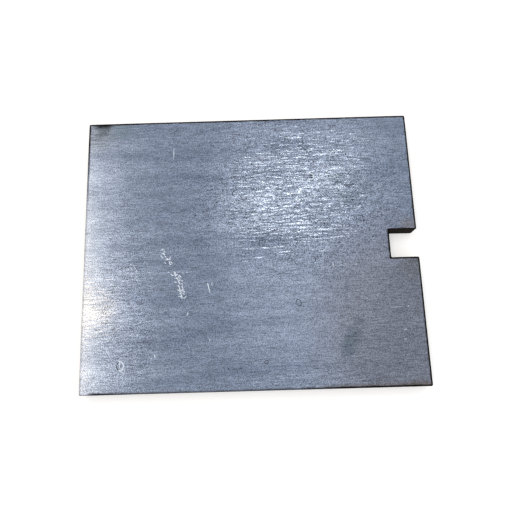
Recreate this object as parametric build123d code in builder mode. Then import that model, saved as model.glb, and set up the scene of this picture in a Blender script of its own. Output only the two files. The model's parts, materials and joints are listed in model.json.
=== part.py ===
"""A notched steel plate: a blank cut from rolled plate, lying flat, at its real size in millimetres.

The origin is the middle of the underside. +X runs along the plate's length, towards the notched
edge, +Y across its width, and +Z up through its thickness.
"""

import os

from build123d import *

# Sizes of the blank
PLATE_LENGTH = 120.0
PLATE_WIDTH = 100.0
PLATE_THICKNESS = 6.0

# The square notch, midway along the +X edge and open on that side
NOTCH_DEPTH = 10.0
NOTCH_WIDTH = 10.0

# What cutting and deburring leave: outer corners knocked off, notch roots as the cut turned,
# and the arrises of both faces broken
CORNER_RADIUS = 0.6
NOTCH_ROOT_RADIUS = 0.4
ARRIS_RADIUS = 0.3

# The plate: its outline in plan, raised to the gauge, with every arris broken
with BuildPart() as steel_plate:
    with BuildSketch() as outline:
        Rectangle(PLATE_LENGTH, PLATE_WIDTH)
        with Locations((PLATE_LENGTH / 2, 0)):
            Rectangle(NOTCH_DEPTH, NOTCH_WIDTH, align=(Align.MAX, Align.CENTER), mode=Mode.SUBTRACT)

        # From -X to +X the corners stand in three columns: left corners, notch roots, right corners
        left_corners, notch_roots, right_corners = outline.vertices().group_by(Axis.X)
        fillet(notch_roots, NOTCH_ROOT_RADIUS)
        fillet(left_corners + right_corners, CORNER_RADIUS)
    extrude(amount=PLATE_THICKNESS)

    flat_faces = steel_plate.faces().filter_by(Axis.Z)
    fillet(flat_faces.edges(), ARRIS_RADIUS)

steel_plate.part.label = "steel_plate"

os.makedirs("parts", exist_ok=True)
export_step(steel_plate.part, "parts/steel_plate.step")
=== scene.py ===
# %% [markdown]
# This lesson dresses one blank of mild steel plate: a slab cut from rolled plate, with a square notch
# in one edge, lying flat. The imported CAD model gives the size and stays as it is. Blender adds what
# the eye reads as steel: the rolled and rubbed face, the dark cut edges, the scratches and dents that
# handling left, and the light that shows them.

# %% Load the plate as the fixed frame
import json
import math
import random

import bmesh
import bpy
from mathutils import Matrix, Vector

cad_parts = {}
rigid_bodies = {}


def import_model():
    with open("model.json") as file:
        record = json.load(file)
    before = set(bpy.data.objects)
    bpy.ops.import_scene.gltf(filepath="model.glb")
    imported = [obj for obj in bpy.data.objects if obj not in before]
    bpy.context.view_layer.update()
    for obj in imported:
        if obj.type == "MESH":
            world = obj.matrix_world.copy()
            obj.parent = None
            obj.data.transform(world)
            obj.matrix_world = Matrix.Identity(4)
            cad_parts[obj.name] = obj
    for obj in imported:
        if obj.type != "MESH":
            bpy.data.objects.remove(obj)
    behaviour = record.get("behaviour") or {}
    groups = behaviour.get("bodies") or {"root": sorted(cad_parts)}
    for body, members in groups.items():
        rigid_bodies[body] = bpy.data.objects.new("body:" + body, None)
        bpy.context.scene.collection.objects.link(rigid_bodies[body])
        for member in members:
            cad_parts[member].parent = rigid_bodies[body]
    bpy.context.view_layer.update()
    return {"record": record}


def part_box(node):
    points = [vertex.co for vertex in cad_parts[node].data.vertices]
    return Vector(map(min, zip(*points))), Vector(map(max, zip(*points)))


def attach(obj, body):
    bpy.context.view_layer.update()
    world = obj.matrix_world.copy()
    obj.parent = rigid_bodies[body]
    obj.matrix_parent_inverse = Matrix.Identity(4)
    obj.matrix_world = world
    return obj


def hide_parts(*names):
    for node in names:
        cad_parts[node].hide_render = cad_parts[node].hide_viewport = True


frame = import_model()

# %% [markdown]
# Every size follows the frame. The length, width and thickness are the CAD node's own box, and the
# notch's floor is the place of the mount that the record calls notch_seat. The notch is as wide as it
# is deep. The three small radii are what cutting and deburring leave on such a blank.

# %% Sizes of the blank, in metres
MM = 0.001
NEAR = 0.0001 * MM

plate_low, plate_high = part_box("steel_plate")
PLATE_LENGTH = plate_high.x - plate_low.x
PLATE_WIDTH = plate_high.y - plate_low.y
PLATE_THICKNESS = plate_high.z - plate_low.z

mount_places = {mount["name"]: mount["pos_m"] for mount in frame["record"]["mounts"]}
NOTCH_FLOOR = mount_places["notch_seat"][0]
NOTCH_DEPTH = PLATE_LENGTH / 2 - NOTCH_FLOOR
NOTCH_HALF = NOTCH_DEPTH / 2

CORNER_RADIUS = 0.6 * MM
NOTCH_ROOT_RADIUS = 0.4 * MM
ARRIS_RADIUS = 0.3 * MM
print("plate", PLATE_LENGTH / MM, "x", PLATE_WIDTH / MM, "x", PLATE_THICKNESS / MM, "mm")

# %% [markdown]
# Three finishes meet on the real blank, so three materials are named before anything is modelled.
# A Boolean cut hands each new face the material of the solid that it came from, which sorts the
# finishes by itself: the rolled sheet brings its face, the blank its cut edge, and the tools that
# scratch it the bare metal underneath. Their nodes are built further down.

# %% Name the three finishes
face_steel = bpy.data.materials.new("rolled_mild_steel_face")
scale_and_shade = bpy.data.materials.new("cut_edge_scale_and_shade")
bare_steel = bpy.data.materials.new("scuffed_bare_steel")
print("finishes:", face_steel.name, scale_and_shade.name, bare_steel.name)

# %% [markdown]
# Modelling by hand means picking things and acting on them. In a script, a pick is a test of place:
# a vertex, edge or face is taken when every one of its corners passes. One helper does the picking,
# another leaves a single piece selected, and a third gives a primitive its real size.

# %% Helpers for picking and for starting a piece
def pick(part, kind, wanted):
    """In edit mode, selects the VERT, EDGE or FACE things whose corners all pass, and counts them."""
    bpy.ops.mesh.select_mode(type=kind)
    bpy.ops.mesh.select_all(action="DESELECT")
    mesh = bmesh.from_edit_mesh(part.data)
    things = {"VERT": mesh.verts, "EDGE": mesh.edges, "FACE": mesh.faces}[kind]
    picked = 0
    for thing in things:
        corners = [thing] if kind == "VERT" else thing.verts
        if all(wanted(corner.co) for corner in corners):
            thing.select_set(True)
            picked += 1
    bmesh.update_edit_mesh(part.data)
    return picked


def make_active(part):
    """Leaves only this part selected, in object mode."""
    bpy.ops.object.select_all(action="DESELECT")
    part.select_set(True)
    bpy.context.view_layer.objects.active = part


def apply_size(part, size):
    """Gives a unit primitive its real size and keeps that size in the mesh."""
    make_active(part)
    part.scale = size
    bpy.ops.object.transform_apply(location=True, rotation=True, scale=True)


# %% [markdown]
# The blank's outline is a rectangle with a bite taken out of one side. It could be drawn as a curve,
# but a plane that is scored along the notch's three sides, and then loses the scored piece, is how
# the notch is cut in the shop. What is left is melted back into a single face with eight corners.

# %% Cut the outline of the blank
bpy.ops.object.select_all(action="DESELECT")
bpy.ops.mesh.primitive_plane_add(size=1)
blank = bpy.context.object
blank.name = "blank"
apply_size(blank, (PLATE_LENGTH, PLATE_WIDTH, 1))
blank.data.materials.append(scale_and_shade)

bpy.ops.object.mode_set(mode="EDIT")
NOTCH_SIDES = (
    ((NOTCH_FLOOR, 0, 0), (1, 0, 0)),
    ((0, NOTCH_HALF, 0), (0, 1, 0)),
    ((0, -NOTCH_HALF, 0), (0, 1, 0)),
)
for place, across in NOTCH_SIDES:
    bpy.ops.mesh.select_all(action="SELECT")
    bpy.ops.mesh.bisect(plane_co=place, plane_no=across)


def in_notch(point):
    return point.x > NOTCH_FLOOR - NEAR and abs(point.y) < NOTCH_HALF + NEAR


FLAT_WITHIN = math.radians(1)
pick(blank, "FACE", in_notch)
bpy.ops.mesh.delete(type="FACE")
bpy.ops.mesh.select_all(action="SELECT")
bpy.ops.mesh.dissolve_limited(angle_limit=FLAT_WITHIN)
print("outline corners:", len(bmesh.from_edit_mesh(blank.data).verts))

# %% [markdown]
# No cut corner is perfectly sharp. A vertex bevel rounds each corner of the flat outline: the two
# roots of the notch keep the small radius of the cutter, and the outer corners are knocked off with
# a file.

# %% Round the corners of the outline
ARC_STEPS = 5


def is_notch_root(point):
    return abs(point.x - NOTCH_FLOOR) < NEAR


def is_outer_corner(point):
    return abs(abs(point.x) - PLATE_LENGTH / 2) < NEAR


roots = pick(blank, "VERT", is_notch_root)
bpy.ops.mesh.bevel(offset=NOTCH_ROOT_RADIUS, segments=ARC_STEPS, affect="VERTICES")
outer = pick(blank, "VERT", is_outer_corner)
bpy.ops.mesh.bevel(offset=CORNER_RADIUS, segments=ARC_STEPS, affect="VERTICES")
print("rounded", roots, "notch roots and", outer, "outer corners")

# %% [markdown]
# The cut walls carry drag lines, so the straight runs need vertices to move. The face is deleted, the
# runs of its outline are divided into short steps, and the outline is filled again. Each run is found
# by the line that it lies on.

# %% Divide the straight runs of the outline
WALL_STEP = 0.5 * MM
STRAIGHT_RUNS = (
    ("x", -PLATE_LENGTH / 2, PLATE_WIDTH),
    ("x", PLATE_LENGTH / 2, PLATE_WIDTH / 2 - NOTCH_HALF),
    ("x", NOTCH_FLOOR, 2 * NOTCH_HALF),
    ("y", -PLATE_WIDTH / 2, PLATE_LENGTH),
    ("y", PLATE_WIDTH / 2, PLATE_LENGTH),
    ("y", -NOTCH_HALF, NOTCH_DEPTH),
    ("y", NOTCH_HALF, NOTCH_DEPTH),
)

bpy.ops.mesh.select_all(action="SELECT")
bpy.ops.mesh.delete(type="ONLY_FACE")
for axis, line, run_length in STRAIGHT_RUNS:
    pick(blank, "EDGE", lambda point: abs(getattr(point, axis) - line) < NEAR)
    bpy.ops.mesh.subdivide(number_cuts=round(run_length / WALL_STEP) - 1)
bpy.ops.mesh.select_all(action="SELECT")
bpy.ops.mesh.edge_face_add()
print("outline vertices:", len(bmesh.from_edit_mesh(blank.data).verts))

# %% [markdown]
# The outline becomes a slab by one extrusion through the thickness. The edge between a face and a
# wall is called an arris. On a deburred blank it is broken to a small round, here an edge bevel in a
# few steps, so that it catches a line of light or shade as the real one does. Three level cuts then
# give the walls some rows of vertices between the arrises.

# %% Raise the blank and break its arrises
ARRIS_STEPS = 3
WALL_ROW_SHARES = (0.25, 0.5, 0.75)
bpy.ops.mesh.extrude_region_move(TRANSFORM_OT_translate={"value": (0, 0, PLATE_THICKNESS)})
bpy.ops.mesh.select_all(action="SELECT")
bpy.ops.mesh.normals_make_consistent(inside=False)


def on_top(point):
    return abs(point.z - PLATE_THICKNESS) < NEAR


def on_underside(point):
    return abs(point.z) < NEAR


for level in (on_top, on_underside):
    edges = pick(blank, "EDGE", level)
    bpy.ops.mesh.bevel(offset=ARRIS_RADIUS, segments=ARRIS_STEPS, affect="EDGES")
    print("broke", edges, "edges")
for share in WALL_ROW_SHARES:
    bpy.ops.mesh.select_all(action="SELECT")
    bpy.ops.mesh.bisect(plane_co=(0, 0, share * PLATE_THICKNESS), plane_no=(0, 0, 1))
bpy.ops.object.mode_set(mode="OBJECT")
print("blank faces:", len(blank.data.polygons))

# %% [markdown]
# Relief is pressed in with the Displace modifier and a cloudy noise. An empty serves as the ruler of
# the noise: stretched along one axis, it draws the clouds out into streaks. The noise only ever takes
# metal away, so nothing grows past the CAD box.

# %% A helper that presses relief into a part
def press_relief(part, spread, depth, direction, outward=1.0, group="", finer=2):
    """Sinks a cloudy relief: spread is one cloud's size in mm along x, y and z, depth its depth in mm."""
    bpy.ops.object.empty_add()
    ruler = bpy.context.object
    ruler.scale = [size * MM for size in spread]
    bpy.context.view_layer.update()
    make_active(part)
    bpy.ops.object.modifier_add(type="DISPLACE")
    press = part.modifiers[-1]
    press.texture = bpy.data.textures.new("clouds", type="CLOUDS")
    press.texture.noise_scale = 1.0
    press.texture.noise_depth = finer
    press.texture_coords = "OBJECT"
    press.texture_coords_object = ruler
    press.direction = direction
    press.mid_level = 1.0 if outward > 0 else 0.0
    press.strength = depth * MM
    press.vertex_group = group
    bpy.ops.object.modifier_apply(modifier=press.name)
    bpy.data.objects.remove(ruler)


# %% [markdown]
# A cut through plate leaves fine upright drag lines on the walls. The relief there is stretched along
# the thickness and kept to the wall's own vertices by a vertex group, so that the arrises stay true.

# %% Press the drag lines into the cut walls
# Each relief: the size of one cloud along x, y and z, and its depth, all in mm.
DRAG_LINES = ((0.9, 0.9, 12), 0.06)
WALL_WAVES = ((7, 7, 9), 0.08)

walls = blank.vertex_groups.new(name="walls")
wall_vertices = [
    vertex.index
    for vertex in blank.data.vertices
    if ARRIS_RADIUS / 2 < vertex.co.z < PLATE_THICKNESS - ARRIS_RADIUS / 2
]
walls.add(wall_vertices, 1.0, "REPLACE")
for relief in (DRAG_LINES, WALL_WAVES):
    press_relief(blank, *relief, "NORMAL", group="walls")
print("wall vertices:", len(wall_vertices))

# %% [markdown]
# A real blank is cut from plate that already has its skin, and the model follows that order. Two
# grids make the rolled plate's upper and lower faces, a little larger than the blank. Their cells are
# small across the rolling direction, where the streaks are narrow, and long along it. The lower face
# lies out of sight, so its cells are coarser.

# %% Roll the two faces of the plate
SPARE = 2 * MM
SKIN = 0.004 * MM
UPPER_CELLS = (112, 620)
LOWER_CELLS = (80, 110)


def roll_face(name, height, cells):
    """A grid somewhat larger than the blank, lying flat at this height."""
    bpy.ops.object.select_all(action="DESELECT")
    bpy.ops.mesh.primitive_grid_add(
        x_subdivisions=cells[0], y_subdivisions=cells[1], size=1, location=(0, 0, height)
    )
    face = bpy.context.object
    face.name = name
    apply_size(face, (PLATE_LENGTH + 2 * SPARE, PLATE_WIDTH + 2 * SPARE, 1))
    face.data.materials.append(face_steel)
    return face


upper_face = roll_face("upper_face", PLATE_THICKNESS - SKIN, UPPER_CELLS)
lower_face = roll_face("lower_face", SKIN, LOWER_CELLS)
print("upper and lower cells:", len(upper_face.data.polygons), len(lower_face.data.polygons))

# %% [markdown]
# Rolling leaves a plate very slightly wavy, and rubbing along its length leaves short shallow dashes.
# Both are a few hundredths of a millimetre, too small to see as shape, but they bend the reflections.
# Where a lamp mirrors in the face, the dashes break it into glints, and that is what makes bare plate
# look like plate and not like a mirror. The lower face's cells only hold broader dashes. On the upper
# face the left side is calmer, which a vertex group's weights bring about, and one place was rubbed
# harder, so a second, deeper relief is weighted to fade out around it.

# %% Press the rolling waves and the rubbed dashes
ROLLING_WAVES = ((34, 22, 30), 0.05)
LOWER_DASHES = ((5, 1.8, 5), 0.05)
UPPER_DASHES = ((3.0, 0.56, 5), 0.07)
RUBBED_DASHES = ((3.6, 0.9, 5), 0.09)

for face, up in ((upper_face, 1.0), (lower_face, -1.0)):
    press_relief(face, *ROLLING_WAVES, "Z", outward=up, finer=1)
press_relief(lower_face, *LOWER_DASHES, "Z", outward=-1.0, finer=1)

CALM_SIDE = -54
CALM_REACH = 26
CALM_SHARE = 0.4
dashed = upper_face.vertex_groups.new(name="dashed")
for vertex in upper_face.data.vertices:
    share = (vertex.co.x / MM - CALM_SIDE) / CALM_REACH
    dashed.add([vertex.index], min(1.0, max(CALM_SHARE, share)), "REPLACE")
press_relief(upper_face, *UPPER_DASHES, "Z", group="dashed", finer=1)

RUBBED_MIDDLE = (18, 21)
RUBBED_REACH = (40, 32)
rubbed = upper_face.vertex_groups.new(name="rubbed")
for vertex in upper_face.data.vertices:
    share_x = (vertex.co.x / MM - RUBBED_MIDDLE[0]) / RUBBED_REACH[0]
    share_y = (vertex.co.y / MM - RUBBED_MIDDLE[1]) / RUBBED_REACH[1]
    rubbed.add([vertex.index], max(0.0, 1.0 - math.hypot(share_x, share_y) ** 2), "REPLACE")
press_relief(upper_face, *RUBBED_DASHES, "Z", group="rubbed", finer=0)
heights = [vertex.co.z for vertex in upper_face.data.vertices]
print("upper relief, mm:", (max(heights) - min(heights)) / MM)

# %% [markdown]
# The two faces are joined and their borders bridged, which makes a closed slab of rolled plate. The
# Boolean modifier then keeps only what lies in both the slab and the blank.

# %% Cut the blank out of the rolled plate
make_active(upper_face)
lower_face.select_set(True)
bpy.ops.object.join()
plate = upper_face
plate.name = "notched_steel_plate"
bpy.ops.object.mode_set(mode="EDIT")
bpy.ops.mesh.select_mode(type="EDGE")
bpy.ops.mesh.select_all(action="DESELECT")
bpy.ops.mesh.select_non_manifold()
bpy.ops.mesh.bridge_edge_loops()
bpy.ops.mesh.select_all(action="SELECT")
bpy.ops.mesh.normals_make_consistent(inside=False)
bpy.ops.object.mode_set(mode="OBJECT")


def cut(part, operation, tool):
    """Cuts the part with the tool, which is then thrown away."""
    make_active(part)
    bpy.ops.object.modifier_add(type="BOOLEAN")
    saw = part.modifiers[-1]
    saw.operation = operation
    saw.solver = "MANIFOLD"
    saw.material_mode = "TRANSFER"
    saw.object = tool
    bpy.ops.object.modifier_apply(modifier=saw.name)
    bpy.data.objects.remove(tool)


cut(plate, "INTERSECT", blank)
print("plate faces:", len(plate.data.polygons), [finish.name for finish in plate.data.materials])

# %% [markdown]
# Handling scars the face. Each scratch is cut by a small tool shaped like a drop: blunt where the
# stroke digs in, and drawn out to a tail where it lifts off. One drop is modelled from a sphere, with
# its far half pulled long, and every stroke is a copy of it, sized and turned. A ray from above finds
# the face, so that each copy sits at the face's own height whatever the relief there.

# %% Model the drop that cuts a stroke
# The drop ends up one unit long and about as wide, so that each stroke's own size can scale it.
DROP_RADIUS = 0.5
DROP_STEPS = 10
DROP_RINGS = 6
TAIL_START = -0.1
TAIL_PULL = (2.0, 0.8, 0.8)
PULLED_LENGTH = 1.4

bpy.ops.object.select_all(action="DESELECT")
bpy.ops.mesh.primitive_uv_sphere_add(
    segments=DROP_STEPS, ring_count=DROP_RINGS, radius=DROP_RADIUS, rotation=(0, math.pi / 2, 0)
)
drop = bpy.context.object
drop.name = "drop"
bpy.ops.object.transform_apply(location=False, rotation=True, scale=False)
bpy.ops.object.mode_set(mode="EDIT")
tail = pick(drop, "VERT", lambda point: point.x < TAIL_START)
bpy.ops.transform.resize(value=TAIL_PULL, center_override=(TAIL_START, 0, 0))
bpy.ops.mesh.select_all(action="SELECT")
bpy.ops.transform.resize(value=(1 / PULLED_LENGTH, 1, 1), center_override=(DROP_RADIUS, 0, 0))
bpy.ops.object.mode_set(mode="OBJECT")
print("tail vertices pulled:", tail, "length", drop.dimensions.x)


def face_height(x, y):
    """The height of the plate's upper face at this place, by a ray from well above it."""
    hit, point, normal, index = plate.ray_cast((x, y, 3 * PLATE_THICKNESS), (0, 0, -1))
    return point.z if hit else PLATE_THICKNESS


def strike(tool, x, y, length, width, depth, turn, finish):
    """Lays a copy of the tool on the face at x, y, all in mm, its long side turned by some degrees."""
    make_active(tool)
    bpy.ops.object.duplicate()
    copy = bpy.context.object
    copy.data.materials.clear()
    copy.data.materials.append(finish)
    copy.rotation_euler.z = math.radians(turn)
    copy.location = (x * MM, y * MM, face_height(x * MM, y * MM))
    apply_size(copy, (length * MM, width * MM, 2 * depth * MM))
    return copy


def cut_strokes(strokes):
    """Joins the laid tools, which must not touch one another, and cuts them all at once."""
    make_active(strokes[0])
    for stroke in strokes:
        stroke.select_set(True)
    bpy.ops.object.join()
    cut(plate, "DIFFERENCE", strokes[0])


# %% [markdown]
# The single scratches come first: one thin upright stroke near the far edge, a leaning one in the
# middle, a row of thin dashes across and a few ticks. Some dark pits go with them. The numbers are read
# off the reference, in millimetres from the middle of the plate.

# %% Cut the single scratches and the pits
# Each one: the place, the length, the width and the turn in degrees.
SCRATCHES = (
    (-27.8, 36.8, 4.6, 0.27, 90),
    (-15.4, -14.2, 3.8, 0.42, 103),
    (-14.3, -12.7, 0.9, 0.26, 50),
    (-34.3, -37.5, 1.5, 0.36, 110),
    (-35.6, -38.2, 0.7, 0.3, 20),
    (-40.8, -39.1, 0.9, 0.3, 100),
    (-23.0, -23.3, 1.0, 0.36, 60),
    (-15.3, -32.6, 0.8, 0.3, 75),
    (-43.0, -30.1, 1.0, 0.3, 20),
    (-40.4, -30.2, 0.8, 0.3, 95),
    (29.1, -7.3, 1.6, 0.26, 105),
    (-43.4, 39.2, 0.8, 0.28, 130),
    (-45.1, 34.0, 0.5, 0.26, 60),
    (49.9, -22.9, 5.0, 0.14, 2),
    (54.3, -22.7, 0.6, 0.28, 60),
    (52.4, -30.7, 1.1, 0.28, 5),
    (52.1, -34.0, 1.0, 0.2, 5),
    (-26.2, -8.3, 1.3, 0.18, 4),
    (-24.6, -8.6, 1.2, 0.2, 178),
    (-23.1, -8.5, 1.3, 0.18, 3),
    (-21.6, -8.3, 1.0, 0.16, 8),
    (-29.6, -8.2, 0.9, 0.22, 170),
    (-46.3, -40.1, 1.7, 0.36, 92),
)
PITS = (
    (-20.0, 12.5, 0.9, 0.45, 10),
    (42.1, 7.9, 0.5, 0.45, 0),
    (23.4, 26.0, 0.7, 0.5, 30),
    (-45.7, 34.2, 0.5, 0.45, 0),
    (-48.5, 32.2, 0.5, 0.4, 0),
    (-9.0, -42.4, 0.5, 0.45, 80),
)
SCRATCH_DEPTH = 0.07
PIT_DEPTH = 0.2
strokes = []
for x, y, length, width, turn in SCRATCHES:
    strokes.append(strike(drop, x, y, length, width, SCRATCH_DEPTH, turn, bare_steel))
for x, y, length, width, turn in PITS:
    strokes.append(strike(drop, x, y, length, width, PIT_DEPTH, turn, scale_and_shade))
cut_strokes(strokes)
print("scratches and pits:", len(SCRATCHES), len(PITS))

# %% [markdown]
# Some rubbed places are made of many short flecks: something hard skidded over the face and chattered.
# Flecks are thrown by seeded chance near a path, some along it and some leaning off it, like the bones
# of a herring. Those of one pass keep a fleck's length apart, because the tools that cut together may
# not touch. The passes cross one another freely.

# %% Cut the chattered places
SEED = 7
FLECK = 1.3
FLECK_LENGTH_SHARES = (0.55, 0.98)
ALONG_SPREAD = 0.3
LEAN_SPREAD = 18
CHATTER_PATH = ((-27.1, -8.8), (-26.3, -10.6), (-25.6, -12.8), (-25.2, -15.0), (-24.8, -17.8))
GALL_PATH = ((-32.1, -0.3), (-31.0, -2.0), (-30.0, -3.7), (-29.0, -5.4))
FAINT_PATH = ((-43.0, -5.0), (-42.0, -8.0), (-41.6, -11.0))
# Each pass: the path, tries, spread to the sides, lean in degrees, and the width of a fleck in mm.
PASSES = (
    (CHATTER_PATH, 70, 0.2, -72, 0.42),
    (CHATTER_PATH, 90, 0.5, 10, 0.36),
    (CHATTER_PATH, 90, 0.6, -40, 0.36),
    (CHATTER_PATH, 80, 0.55, 65, 0.36),
    (CHATTER_PATH, 60, 0.7, -15, 0.34),
    (GALL_PATH, 50, 0.2, -55, 0.45),
    (GALL_PATH, 40, 0.45, 20, 0.36),
    (GALL_PATH, 30, 0.6, -30, 0.32),
    (FAINT_PATH, 30, 0.8, -60, 0.28),
    (FAINT_PATH, 20, 1.0, 30, 0.26),
)
chance = random.Random(SEED)
flecks_cut = 0
for path, tries, spread, lean, width in PASSES:
    spots, flecks = [], []
    for attempt in range(tries):
        start, end = chance.choice(list(zip(path, path[1:])))
        spot = Vector(start).lerp(Vector(end), chance.random())
        spot += Vector((chance.gauss(0, spread), chance.gauss(0, ALONG_SPREAD)))
        if all((spot - other).length > FLECK for other in spots):
            spots.append(spot)
            turn = lean + chance.gauss(0, LEAN_SPREAD)
            length = FLECK * chance.uniform(*FLECK_LENGTH_SHARES)
            flecks.append(strike(drop, spot.x, spot.y, length, width, SCRATCH_DEPTH, turn, bare_steel))
    cut_strokes(flecks)
    flecks_cut += len(flecks)
print("flecks:", flecks_cut)

# %% [markdown]
# Dropped and hammered things leave ring-shaped dents. A torus laid into the face, a little tilted and
# raised until it is half sunk on its deep side, cuts a groove that runs out on the other side, with an
# island of face left inside. Fresh dents are bare metal. The others take the dark cut-edge finish, so
# their thin grooves look dark: painted shade in the grooves. Where a fresh dent overlaps a dark one,
# each keeps its own side.

# %% Cut the ring dents
# Each dent: the middle, the size across, how far it is stretched, the width of the groove, the side
# that is deepest in degrees from the right, the tilt in degrees, and the finish.
# Dents with the dark finish have painted shade in their grooves.
RING_DENTS = (
    (-46.3, -40.5, 2.5, 1.25, 0.38, 5, 4, bare_steel),
    (-46.5, -40.4, 1.6, 1.6, 0.26, 175, 6, scale_and_shade),
    (23.0, 26.4, 2.2, 1.0, 0.4, -40, 3, bare_steel),
    (16.1, -20.4, 1.6, 1.5, 0.19, 20, 3, scale_and_shade),
    (15.6, 1.4, 2.2, 1.0, 0.18, 20, 3, scale_and_shade),
    (22.1, -5.0, 1.7, 1.2, 0.16, 20, 3, scale_and_shade),
    (4.0, -40.5, 1.2, 1.0, 0.18, 20, 3, scale_and_shade),
    (13.8, -4.8, 1.4, 1.0, 0.16, 20, 3, scale_and_shade),
)
DENT_DEPTH = 0.09
RING_STEPS = 28
GROOVE_STEPS = 8
for x, y, across, stretch, groove, deep_side, tilt, finish in RING_DENTS:
    bpy.ops.object.select_all(action="DESELECT")
    bpy.ops.mesh.primitive_torus_add(
        major_segments=RING_STEPS,
        minor_segments=GROOVE_STEPS,
        major_radius=across / 2 * MM,
        minor_radius=groove / 2 * MM,
    )
    ring = bpy.context.object
    ring.data.materials.append(finish)
    ring.rotation_euler = (0, math.radians(tilt), math.radians(deep_side))
    raised = across / 2 * math.sin(math.radians(tilt))
    ring.location = (x * MM, y * MM, face_height(x * MM, y * MM) + raised * MM)
    apply_size(ring, (1, stretch, 2 * DENT_DEPTH / groove))
    cut(plate, "DIFFERENCE", ring)
print("ring dents:", len(RING_DENTS))

# %% [markdown]
# The last marks are a few nicks in the arris, where the blank was knocked. They are the same drop,
# deeper, laid along the edge with its middle on the outline.

# %% Nick the arrises
END = round(PLATE_LENGTH / 2 / MM, 3)
SIDE = round(PLATE_WIDTH / 2 / MM, 3)
# Each nick: the place, the length and the turn in degrees.
NICKS = (
    (-51.5, -SIDE, 1.6, 0),
    (-45.8, -SIDE, 1.1, 0),
    (-38.2, -SIDE, 2.2, 0),
    (-8.5, -SIDE, 1.2, 0),
    (END, -7.3, 1.2, 90),
    (-END, 33.0, 1.4, 90),
    (21.5, SIDE, 1.5, 0),
)
NICK_WIDTH = 0.3
NICK_DEPTH = 0.2
nicks = []
for x, y, length, turn in NICKS:
    nicks.append(strike(drop, x, y, length, NICK_WIDTH, NICK_DEPTH, turn, scale_and_shade))
cut_strokes(nicks)
bpy.data.objects.remove(drop)
print("nicks:", len(NICKS))

# %% [markdown]
# Where strokes cross, a crumb of metal can be left that hangs on nothing. Everything that is joined to
# the lower half of the plate is kept, and whatever remains is deleted.

# %% Clear away loose crumbs
make_active(plate)
bpy.ops.object.mode_set(mode="EDIT")
pick(plate, "VERT", lambda point: point.z < PLATE_THICKNESS / 2)
bpy.ops.mesh.select_linked()
bpy.ops.mesh.select_all(action="INVERT")
vertices_before = len(bmesh.from_edit_mesh(plate.data).verts)
bpy.ops.mesh.delete(type="VERT")
vertices_after = len(bmesh.from_edit_mesh(plate.data).verts)
bpy.ops.object.mode_set(mode="OBJECT")
print("crumb vertices cleared:", vertices_before - vertices_after)

# %% [markdown]
# Shading smooths every edge that turns less than 35 degrees, which keeps the fine relief soft and the
# arrises crisp. Then the piece is hung on the root body, and the CAD's only node is hidden.

# %% Shade the piece and hang it on the root body
SMOOTH_BELOW = math.radians(35)
plate.vertex_groups.clear()
bpy.ops.object.shade_smooth_by_angle(angle=SMOOTH_BELOW)
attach(plate, "root")
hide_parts("steel_plate")
print("finished faces:", len(plate.data.polygons))

# %% [markdown]
# Now the finishes. Colours are picked as sRGB hex numbers, as on any screen, and turned into the
# linear values that shaders work in. One helper adds a node, sets it and links it. It takes a socket
# by its name or its number: in a Map Range, 1 and 2 are the range that comes in and 3 and 4 the range
# that goes out, and a Mix has its share at 0 and its two colours at 6 and 7, or its two numbers at 2
# and 3. Sizes of patterns are given in millimetres, and the coordinates are the object's own, so they
# stay put on the steel.

# %% Helpers for the finishes
def linear(hex_colour):
    """An sRGB hex colour as the linear red, green, blue and alpha that a socket takes."""
    shares = [int(hex_colour[place:place + 2], 16) / 255 for place in (1, 3, 5)]
    return [c / 12.92 if c <= 0.04045 else ((c + 0.055) / 1.055) ** 2.4 for c in shares] + [1.0]


def add_node(tree, kind, sockets=None, **settings):
    """Adds one node. A socket is given a value, or the output of another node to link to it."""
    made = tree.nodes.new(kind)
    for name, value in settings.items():
        setattr(made, name, value)
    for socket, value in (sockets or {}).items():
        if isinstance(value, bpy.types.NodeSocket):
            tree.links.new(value, made.inputs[socket])
        else:
            made.inputs[socket].default_value = value
    return made.outputs


def start_tree(owner):
    """An empty node tree on a material or a world."""
    owner.use_nodes = True
    owner.node_tree.nodes.clear()
    return owner.node_tree


def per_metre(*sizes_mm):
    """Pattern sizes in mm as the scale of a Mapping node."""
    return [1 / (size * MM) for size in sizes_mm]


def round_fade(tree, vector, middle_mm, half_mm, turn=0):
    """A share that is 1 in the middle of an oval spot and falls to 0 at its rim."""
    spot = add_node(
        tree,
        "ShaderNodeMapping",
        {
            "Vector": vector,
            "Location": [place_mm * MM for place_mm in middle_mm],
            "Rotation": (0, 0, math.radians(turn)),
            "Scale": [size_mm * MM for size_mm in half_mm],
        },
        vector_type="TEXTURE",
    )[0]
    return add_node(tree, "ShaderNodeTexGradient", {"Vector": spot}, gradient_type="SPHERICAL")["Fac"]


print("half grey in linear light:", round(linear("#808080")[0], 3))

# %% [markdown]
# The rolled face is bare mild steel with a blue-grey bloom. Three noises make it: brushed lines drawn
# out along the rolling direction, a fine grain, and broad clouds where the bloom is thicker. The real
# lines and grain are a tenth of a millimetre across, too fine to show at this distance, so they are
# drawn about three times coarser.

# %% Patterns of the rolled face
BRUSHED_LINE = (3.0, 0.36, 0.36)
GRAIN = (0.3, 0.24, 0.24)
BLOOM_CLOUD = (30, 5, 5)
THICK_BLOOM = "#6f7a8e"
THIN_BLOOM = "#8590a4"
# Most of a noise lies between these two values.
NOISE_LOW = 0.3
NOISE_HIGH = 0.7

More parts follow.
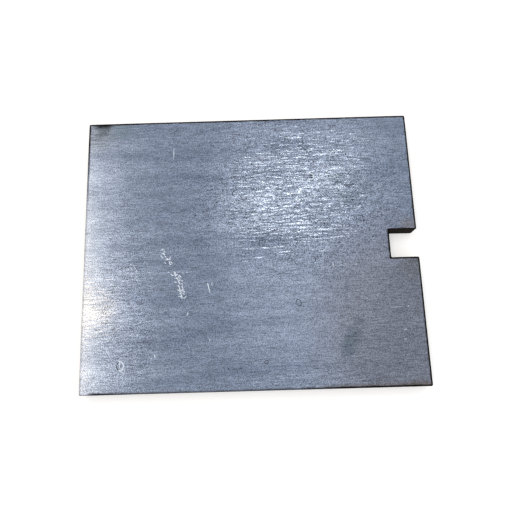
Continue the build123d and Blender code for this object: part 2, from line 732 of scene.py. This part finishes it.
tree = start_tree(face_steel)
place = add_node(tree, "ShaderNodeTexCoord")["Object"]
line_place = add_node(tree, "ShaderNodeMapping", {"Vector": place, "Scale": per_metre(*BRUSHED_LINE)})[0]
lines = add_node(tree, "ShaderNodeTexNoise", {"Vector": line_place, "Scale": 1, "Detail": 1})[0]
grain_place = add_node(tree, "ShaderNodeMapping", {"Vector": place, "Scale": per_metre(*GRAIN)})[0]
grain = add_node(tree, "ShaderNodeTexNoise", {"Vector": grain_place, "Scale": 1, "Detail": 2})[0]
cloud_place = add_node(tree, "ShaderNodeMapping", {"Vector": place, "Scale": per_metre(*BLOOM_CLOUD)})[0]
clouds = add_node(tree, "ShaderNodeTexNoise", {"Vector": cloud_place, "Scale": 1, "Detail": 4})[0]

cloud_share = add_node(tree, "ShaderNodeMapRange", {0: clouds, 1: NOISE_LOW, 2: NOISE_HIGH})[0]
tone = add_node(
    tree,
    "ShaderNodeMix",
    {0: cloud_share, 6: linear(THICK_BLOOM), 7: linear(THIN_BLOOM)},
    data_type="RGBA",
)[2]
print("face pattern nodes:", len(tree.nodes))

# %% [markdown]
# Old stains sit on the upper face: a dirty corner, a greenish oil mark, a brown bloom at the right
# hand end. Three spots among them are painted shade: the dark middle of the largest dent, and two
# darker patches inside the lamp's patch of glints. Each is a round gradient, stretched and turned by a
# Mapping node, that fades out at its rim. A noise first shifts the place, which frays the rims. Along
# the thickness the gradients are only a few millimetres tall, so the underside stays clean.

# %% Stains on the upper face
# Each stain or spot of painted shade: its middle and its half sizes in mm, the turn in degrees,
# the colour and the strength.
STAINS_AND_SHADE = (
    ((50, -30), (34, 46), 0, "#6f717c", 0.7),
    ((-57.0, 47.0), (12, 11), 0, "#6e7173", 0.35),
    ((-46.5, 46.5), (6, 4), 0, "#6a7a85", 0.5),
    ((-54.6, 47.2), (3.4, 5), -25, "#44474a", 0.5),
    ((-54.2, 49.6), (5.0, 1.9), 0, "#161615", 0.9),
    ((33.0, -34.8), (3.6, 8), -20, "#485864", 0.55),
    ((36.6, -27.7), (2.4, 1.8), 0, "#4f5562", 0.5),
    ((36.0, -32.2), (2.2, 2.4), 0, "#4f5560", 0.4),
    ((33, -16.5), (0.8, 5), 0, "#576271", 0.4),
    ((5, 2.4), (11, 2.8), 0, "#5a6479", 0.5),
    # Painted shade: the dark middle of the largest dent.
    ((23.0, 26.5), (1.7, 1.5), 0, "#444e5d", 0.85),
    ((39, 20), (11, 9), 10, "#5e697a", 0.5),
    # Painted shade: these two darker patches inside the lamp's glints.
    ((32.5, 25), (4, 3), 0, "#535d6b", 0.5),
    ((34.8, 18), (4, 2.6), -20, "#535d6b", 0.5),
    ((56, -49.4), (9, 1.8), 0, "#65584f", 0.45),
    ((42, -49.5), (26, 1.5), 0, "#655d59", 0.5),
    ((58, 7), (5, 3.5), 0, "#7b726b", 0.35),
    ((57.5, -8.5), (6, 6), 0, "#64686d", 0.6),
)
STAIN_HEIGHT = 3
STAIN_FULL_SHARE = 0.55
FRAY_CLOUD = (2.5, 2, 2)
FRAY_SHIFT = 2.5
NOISE_MIDDLE = (0.5, 0.5, 0.5)
fray_place = add_node(tree, "ShaderNodeMapping", {"Vector": place, "Scale": per_metre(*FRAY_CLOUD)})[0]
fray = add_node(tree, "ShaderNodeTexNoise", {"Vector": fray_place, "Scale": 1, "Detail": 3})["Color"]
fray = add_node(tree, "ShaderNodeVectorMath", {0: fray, 1: NOISE_MIDDLE}, operation="SUBTRACT")[0]
fray = add_node(tree, "ShaderNodeVectorMath", {0: fray, "Scale": FRAY_SHIFT * MM}, operation="SCALE")[0]
frayed = add_node(tree, "ShaderNodeVectorMath", {0: place, 1: fray}, operation="ADD")[0]

FACE_LEVEL = PLATE_THICKNESS / MM
for (x, y), (half_x, half_y), turn, colour, strength in STAINS_AND_SHADE:
    fade = round_fade(tree, frayed, (x, y, FACE_LEVEL), (half_x, half_y, STAIN_HEIGHT), turn)
    share = add_node(tree, "ShaderNodeMapRange", {0: fade, 2: STAIN_FULL_SHARE, 4: strength})[0]
    tone = add_node(tree, "ShaderNodeMix", {0: share, 6: tone, 7: linear(colour)}, data_type="RGBA")[2]
print("stains:", len(STAINS_AND_SHADE))

# %% [markdown]
# Brushed lines and grain together are the nap of the steel. It lies over the stains too, so it is laid
# on last, with an Overlay mix that lightens and darkens the tone below. Where the lamps mirror in the
# face, in the place that was pressed deeper above and along the left side, the nap is painted stronger:
# a painted glint contrast.

# %% The nap of the steel
# Each place where the lamps mirror and the nap is painted stronger: its middle and its half sizes in mm.
GLINT_NAP_PLACES = (
    (RUBBED_MIDDLE, (46, 38)),
    ((-45, -22), (12, 45)),
)
NAP_HEIGHT = 20
NAP_FULL_SHARE = 0.5
CALM_NAP = 0.65
STRONG_NAP = 1.0
NAP_GRAIN_SHARE = 0.8
NAP_LOW = 0.36
NAP_HIGH = 0.64
glint_share = 0.0
for (x, y), (half_x, half_y) in GLINT_NAP_PLACES:
    fade = round_fade(tree, place, (x, y, FACE_LEVEL), (half_x, half_y, NAP_HEIGHT))
    glint_share = add_node(tree, "ShaderNodeMath", {0: glint_share, 1: fade}, operation="MAXIMUM")[0]
nap_strength = add_node(
    tree, "ShaderNodeMapRange", {0: glint_share, 2: NAP_FULL_SHARE, 3: CALM_NAP, 4: STRONG_NAP}
)[0]
nap = add_node(tree, "ShaderNodeMix", {0: NAP_GRAIN_SHARE, 2: lines, 3: grain}, data_type="FLOAT")[0]
nap_share = add_node(tree, "ShaderNodeMapRange", {0: nap, 1: NAP_LOW, 2: NAP_HIGH})[0]
tone = add_node(
    tree,
    "ShaderNodeMix",
    {0: nap_strength, 6: tone, 7: nap_share},
    data_type="RGBA",
    blend_type="OVERLAY",
)[2]
print("rubbed places:", len(GLINT_NAP_PLACES))

# %% [markdown]
# A thin dark border runs along the outline of the face: painted shade of the rounded arris and of the
# shadow along the plate's rim, with some dirt and scale. How far a place is from the outline is worked
# out with plain arithmetic nodes: the distance to the four sides, and the distance to the notch. A noise
# makes the border ragged. Along the left side, where the window's glare falls, the painted border is
# taken away, and in the middle of the near side it is thinner.

# %% The dark border along the edges
SOLID_BORDER = 0.48
NARROW_BORDER = 0.6
WIDE_BORDER = 1.12
RAGGED_CLOUD = (3, 3, 3)
# The border's colour: painted shade of the arris and of the rim's shadow, with some dirt.
BORDER_DIRT_AND_SHADE = "#1b1817"
THINNING_FULL_SHARE = 0.4

axes = add_node(tree, "ShaderNodeSeparateXYZ", {0: place})
side_x = add_node(tree, "ShaderNodeMath", {0: axes["X"]}, operation="ABSOLUTE")[0]
side_y = add_node(tree, "ShaderNodeMath", {0: axes["Y"]}, operation="ABSOLUTE")[0]
gap_x = add_node(tree, "ShaderNodeMath", {0: PLATE_LENGTH / 2, 1: side_x}, operation="SUBTRACT")[0]
gap_y = add_node(tree, "ShaderNodeMath", {0: PLATE_WIDTH / 2, 1: side_y}, operation="SUBTRACT")[0]
to_sides = add_node(tree, "ShaderNodeMath", {0: gap_x, 1: gap_y}, operation="MINIMUM")[0]

short_x = add_node(tree, "ShaderNodeMath", {0: NOTCH_FLOOR, 1: axes["X"]}, operation="SUBTRACT")[0]
short_x = add_node(tree, "ShaderNodeMath", {0: short_x, 1: 0.0}, operation="MAXIMUM")[0]
short_y = add_node(tree, "ShaderNodeMath", {0: side_y, 1: NOTCH_HALF}, operation="SUBTRACT")[0]
short_y = add_node(tree, "ShaderNodeMath", {0: short_y, 1: 0.0}, operation="MAXIMUM")[0]
short = add_node(tree, "ShaderNodeCombineXYZ", {0: short_x, 1: short_y})[0]
to_notch = add_node(tree, "ShaderNodeVectorMath", {0: short}, operation="LENGTH")["Value"]
to_edge = add_node(tree, "ShaderNodeMath", {0: to_sides, 1: to_notch}, operation="MINIMUM")[0]

ragged_place = add_node(tree, "ShaderNodeMapping", {"Vector": place, "Scale": per_metre(*RAGGED_CLOUD)})[0]
ragged = add_node(tree, "ShaderNodeTexNoise", {"Vector": ragged_place, "Scale": 1, "Detail": 4})[0]
width = add_node(
    tree,
    "ShaderNodeMapRange",
    {0: ragged, 1: NOISE_LOW, 2: NOISE_HIGH, 3: NARROW_BORDER * MM, 4: WIDE_BORDER * MM},
)[0]
border = add_node(
    tree, "ShaderNodeMapRange", {0: to_edge, 1: SOLID_BORDER * MM, 2: width, 3: 1.0, 4: 0.0}
)[0]
LEFT_SIDE = (-PLATE_LENGTH / 2 / MM, -20, FACE_LEVEL)
NEAR_SIDE = (-15, -PLATE_WIDTH / 2 / MM, FACE_LEVEL)
# Each thinned place: its middle, how far it reaches, and the share of the painted border left there.
THINNED_BORDER_PLACES = (
    (LEFT_SIDE, (6, 62, 20), 0.1),
    (NEAR_SIDE, (45, 20, 20), 0.65),
)
for middle, reach, left_over in THINNED_BORDER_PLACES:
    lightened = round_fade(tree, place, middle, reach)
    kept = add_node(tree, "ShaderNodeMapRange", {0: lightened, 2: THINNING_FULL_SHARE, 3: 1.0, 4: left_over})[0]
    border = add_node(tree, "ShaderNodeMath", {0: border, 1: kept}, operation="MULTIPLY")[0]
tone = add_node(tree, "ShaderNodeMix", {0: border, 6: tone, 7: linear(BORDER_DIRT_AND_SHADE)}, data_type="RGBA")[2]
print("border nodes done, tree now", len(tree.nodes))

# %% [markdown]
# The shader itself is a metal: the tone is the colour of its reflections. The brushed lines vary its
# roughness a little, which gives the sheen a nap, and lines and grain together feed a bump far finer
# than the mesh. The dark border, painted shade with some dirt, is rougher.

# %% The rolled face's shader
SMOOTH_LINE = 0.09
ROUGH_LINE = 0.13
BORDER_ROUGHNESS = 0.75
BUMP_GRAIN_SHARE = 0.25
NAP_BUMP = 0.008
rough = add_node(
    tree, "ShaderNodeMapRange", {0: lines, 1: NOISE_LOW, 2: NOISE_HIGH, 3: SMOOTH_LINE, 4: ROUGH_LINE}
)[0]
rough = add_node(tree, "ShaderNodeMix", {0: border, 2: rough, 3: BORDER_ROUGHNESS}, data_type="FLOAT")[0]
height = add_node(tree, "ShaderNodeMix", {0: BUMP_GRAIN_SHARE, 2: lines, 3: grain}, data_type="FLOAT")[0]
bump = add_node(tree, "ShaderNodeBump", {"Height": height, "Distance": NAP_BUMP * MM, "Strength": 1.0})[0]
shader = add_node(
    tree,
    "ShaderNodeBsdfPrincipled",
    {"Base Color": tone, "Metallic": 1.0, "Roughness": rough, "Normal": bump},
)[0]
add_node(tree, "ShaderNodeOutputMaterial", {"Surface": shader})
print("rolled face:", len(tree.nodes), "nodes")

# %% [markdown]
# The cut edge is covered in a dull brown-black scale, so it is no mirror: a rough, dark coat that
# hardly shines. Its two colours are darker than the scale alone: painted shade of walls that stand in
# shade. Patches of it lean towards rust. Upright drag lines from the cut give it a fine bump that
# follows the thickness. Along the left side, where the window's glare falls, it is painted pale metal:
# a painted highlight.

# %% The cut edge's finish
SCALE_PATCH = (5, 5, 2.5)
PATCH_LOW = 0.4
# Both scale colours are darker than scale alone: painted shade for walls that stand in shade.
BLACK_SCALE_AND_SHADE = "#0c0a09"
RUSTY_SCALE_AND_SHADE = "#20160f"
DRAG_LINE = (0.5, 0.5, 5)
DRAG_STRENGTH = 0.5
DRAG_BUMP = 0.08
SCALE_ROUGHNESS = 0.92
SCALE_SHINE = 0.1
GLARE_REACH = (10, 34, 1.6)
PALE_LOW = 0.15
PALE_HIGH = 0.4
PALEST_SHARE = 0.9
# Pale metal painted where the window's glare falls on the left side: a painted highlight.
GLARE_PALE_STEEL = "#989fa7"

tree = start_tree(scale_and_shade)
place = add_node(tree, "ShaderNodeTexCoord")["Object"]
patch_place = add_node(tree, "ShaderNodeMapping", {"Vector": place, "Scale": per_metre(*SCALE_PATCH)})[0]
patches = add_node(tree, "ShaderNodeTexNoise", {"Vector": patch_place, "Scale": 1, "Detail": 5})[0]
patch_share = add_node(tree, "ShaderNodeMapRange", {0: patches, 1: PATCH_LOW, 2: NOISE_HIGH})[0]
tone = add_node(
    tree,
    "ShaderNodeMix",
    {0: patch_share, 6: linear(BLACK_SCALE_AND_SHADE), 7: linear(RUSTY_SCALE_AND_SHADE)},
    data_type="RGBA",
)[2]
drag_place = add_node(tree, "ShaderNodeMapping", {"Vector": place, "Scale": per_metre(*DRAG_LINE)})[0]
drag = add_node(tree, "ShaderNodeTexNoise", {"Vector": drag_place, "Scale": 1, "Detail": 3})[0]
drag_share = add_node(tree, "ShaderNodeMapRange", {0: drag, 1: NOISE_LOW, 2: NOISE_HIGH})[0]
tone = add_node(
    tree,
    "ShaderNodeMix",
    {0: DRAG_STRENGTH, 6: tone, 7: drag_share},
    data_type="RGBA",
    blend_type="OVERLAY",
)[2]
lightened = round_fade(tree, place, LEFT_SIDE, GLARE_REACH)
lightened = add_node(tree, "ShaderNodeMath", {0: lightened, 1: drag_share}, operation="MULTIPLY")[0]
pale_share = add_node(
    tree, "ShaderNodeMapRange", {0: lightened, 1: PALE_LOW, 2: PALE_HIGH, 3: 0.0, 4: PALEST_SHARE}
)[0]
tone = add_node(tree, "ShaderNodeMix", {0: pale_share, 6: tone, 7: linear(GLARE_PALE_STEEL)}, data_type="RGBA")[2]
bump = add_node(tree, "ShaderNodeBump", {"Height": drag, "Distance": DRAG_BUMP * MM, "Strength": 1.0})[0]
shader = add_node(
    tree,
    "ShaderNodeBsdfPrincipled",
    {
        "Base Color": tone,
        "Metallic": pale_share,
        "Roughness": SCALE_ROUGHNESS,
        "Specular IOR Level": SCALE_SHINE,
        "Normal": bump,
    },
)[0]
add_node(tree, "ShaderNodeOutputMaterial", {"Surface": shader})
print("cut edge:", len(tree.nodes), "nodes")

# %% [markdown]
# A fresh scratch lays the metal bare: pale, clean and torn, so it throws light about more evenly than
# the polished face does. Small differences of tone along it come from one noise.

# %% The bare scratch's finish
TORN_PATCH = (0.4, 0.4, 0.4)
DULL_BARE = "#c5d2e5"
BRIGHT_BARE = "#e1e8ed"
TORN_ROUGHNESS = 0.5
TORN_BUMP = 0.04

tree = start_tree(bare_steel)
place = add_node(tree, "ShaderNodeTexCoord")["Object"]
torn_place = add_node(tree, "ShaderNodeMapping", {"Vector": place, "Scale": per_metre(*TORN_PATCH)})[0]
torn = add_node(tree, "ShaderNodeTexNoise", {"Vector": torn_place, "Scale": 1, "Detail": 2})[0]
torn_share = add_node(tree, "ShaderNodeMapRange", {0: torn, 1: NOISE_LOW, 2: NOISE_HIGH})[0]
tone = add_node(
    tree, "ShaderNodeMix", {0: torn_share, 6: linear(DULL_BARE), 7: linear(BRIGHT_BARE)}, data_type="RGBA"
)[2]
bump = add_node(tree, "ShaderNodeBump", {"Height": torn, "Distance": TORN_BUMP * MM, "Strength": 1.0})[0]
shader = add_node(
    tree,
    "ShaderNodeBsdfPrincipled",
    {"Base Color": tone, "Metallic": 1.0, "Roughness": TORN_ROUGHNESS, "Normal": bump},
)[0]
add_node(tree, "ShaderNodeOutputMaterial", {"Surface": shader})
print("bare scratch:", len(tree.nodes), "nodes")

# %% [markdown]
# The camera looks down on the plate from close above, a little from the front. Its place and turn were
# worked out from the outline of the plate. The picture is square and the lens is moderately wide, so
# the near side of the plate looks longer than the far one.

# %% Place the camera
CAMERA_PLACE = (-3.59, -43.43, 184.81)
CAMERA_TURN = (12.72, 0.503, -1.584)
LENS = 36
SENSOR = 36
FRAME_SHIFT = 0.03125
NEAREST = 10

bpy.ops.object.camera_add(location=[place_mm * MM for place_mm in CAMERA_PLACE])
camera = bpy.context.object
camera.rotation_euler = [math.radians(turn) for turn in CAMERA_TURN]
camera.data.lens = LENS
camera.data.sensor_width = SENSOR
camera.data.shift_x = FRAME_SHIFT
camera.data.clip_start = NEAREST * MM
bpy.context.scene.camera = camera
print("camera at", tuple(camera.location))

# %% [markdown]
# Metal shows its lamps, so each lamp hangs where its mirror image is wanted. A small oval lamp overhead,
# with a large faint glow round it, is seen in the right half of the plate as a patch of glints. A tall
# window to the left mirrors just off the left side. Four long lamps make it, each reaching a little
# further in than the one before, so that its light fades inwards. Two small ones are a warm spot of sun
# in it. All eight are flat and face straight down. Lamps that overlap hang a millimetre apart, because
# in one plane only one of them would count. Everything else comes from an even pale surround.

# %% Hang the lamps
def hang_lamp(name, place_mm, size_mm, watts, colour, turn=0):
    """A flat oval lamp that faces straight down, turned about the vertical by some degrees."""
    bpy.ops.object.light_add(type="AREA", location=Vector(place_mm) * MM)
    lamp = bpy.context.object
    lamp.name = name
    lamp.rotation_euler.z = math.radians(turn)
    lamp.data.shape = "ELLIPSE"
    lamp.data.size = size_mm[0] * MM
    lamp.data.size_y = size_mm[1] * MM
    lamp.data.energy = watts
    lamp.data.color = linear(colour)[:3]


hang_lamp("ceiling_lamp", (84, 220, 566), (190, 20), 0.056, "#fff4de", turn=10)
hang_lamp("ceiling_glow", (86, 171, 567), (256, 500), 0.098, "#fff6ea")
hang_lamp("window_rim", (-267, 33, 566), (81, 620), 0.192, "#ffd192")
hang_lamp("window_lamp", (-249, 33, 567), (83, 620), 0.148, "#fff3de")
hang_lamp("window_halo", (-218, 33, 568), (103, 620), 0.076, "#fff3e0")
hang_lamp("window_glow", (-185, 33, 569), (136, 620), 0.035, "#fff4df")
hang_lamp("sun_spot", (-237, 50, 570), (99, 50), 0.0221, "#ffcc66")
hang_lamp("sun_glow", (-208, 50, 571), (140, 50), 0.0121, "#fff4f0")

# %% [markdown]
# The plate lies on a plain pale floor that holds its soft shadow. The floor is lifted a little for
# the camera and for mirrored rays, so that the ground reads as white without lighting the plate. The
# surround is pure white for those rays and a little dimmer as a light, for the same reason.

# %% Lay the floor and the surround
def seen_rays(tree):
    """A share that is 1 for a ray that shows its target: from the camera, or by mirror or glass."""
    ray = add_node(tree, "ShaderNodeLightPath")
    share = ray["Is Camera Ray"]
    for kind in ("Is Glossy Ray", "Is Transmission Ray"):
        share = add_node(tree, "ShaderNodeMath", {0: share, 1: ray[kind]}, operation="MAXIMUM")[0]
    return share


FLOOR_SIZE = 4000
FLOOR_LEVEL = -0.1
WHITE = "#ffffff"
FLOOR_GREY = "#ececec"
FLOOR_ROUGHNESS = 0.9
FLOOR_LIFT = 0.4
bpy.ops.object.select_all(action="DESELECT")
bpy.ops.mesh.primitive_plane_add(size=FLOOR_SIZE * MM, location=(0, 0, FLOOR_LEVEL * MM))
floor = bpy.context.object
floor.name = "floor"
floor_paint = bpy.data.materials.new("pale_floor")
floor.data.materials.append(floor_paint)
tree = start_tree(floor_paint)
lift = add_node(tree, "ShaderNodeMath", {0: seen_rays(tree), 1: FLOOR_LIFT}, operation="MULTIPLY")[0]
shader = add_node(
    tree,
    "ShaderNodeBsdfPrincipled",
    {
        "Base Color": linear(FLOOR_GREY),
        "Roughness": FLOOR_ROUGHNESS,
        "Emission Color": linear(WHITE),
        "Emission Strength": lift,
    },
)[0]
add_node(tree, "ShaderNodeOutputMaterial", {"Surface": shader})

SURROUND_LIGHT = 0.85
SURROUND_SEEN = 1.0
world = bpy.data.worlds.new("studio")
bpy.context.scene.world = world
tree = start_tree(world)
strength = add_node(
    tree, "ShaderNodeMapRange", {0: seen_rays(tree), 3: SURROUND_LIGHT, 4: SURROUND_SEEN}
)[0]
sky = add_node(tree, "ShaderNodeBackground", {"Color": linear(WHITE), "Strength": strength})[0]
add_node(tree, "ShaderNodeOutputWorld", {"Surface": sky})
bpy.context.scene.view_settings.view_transform = "Standard"
print("floor and surround set")
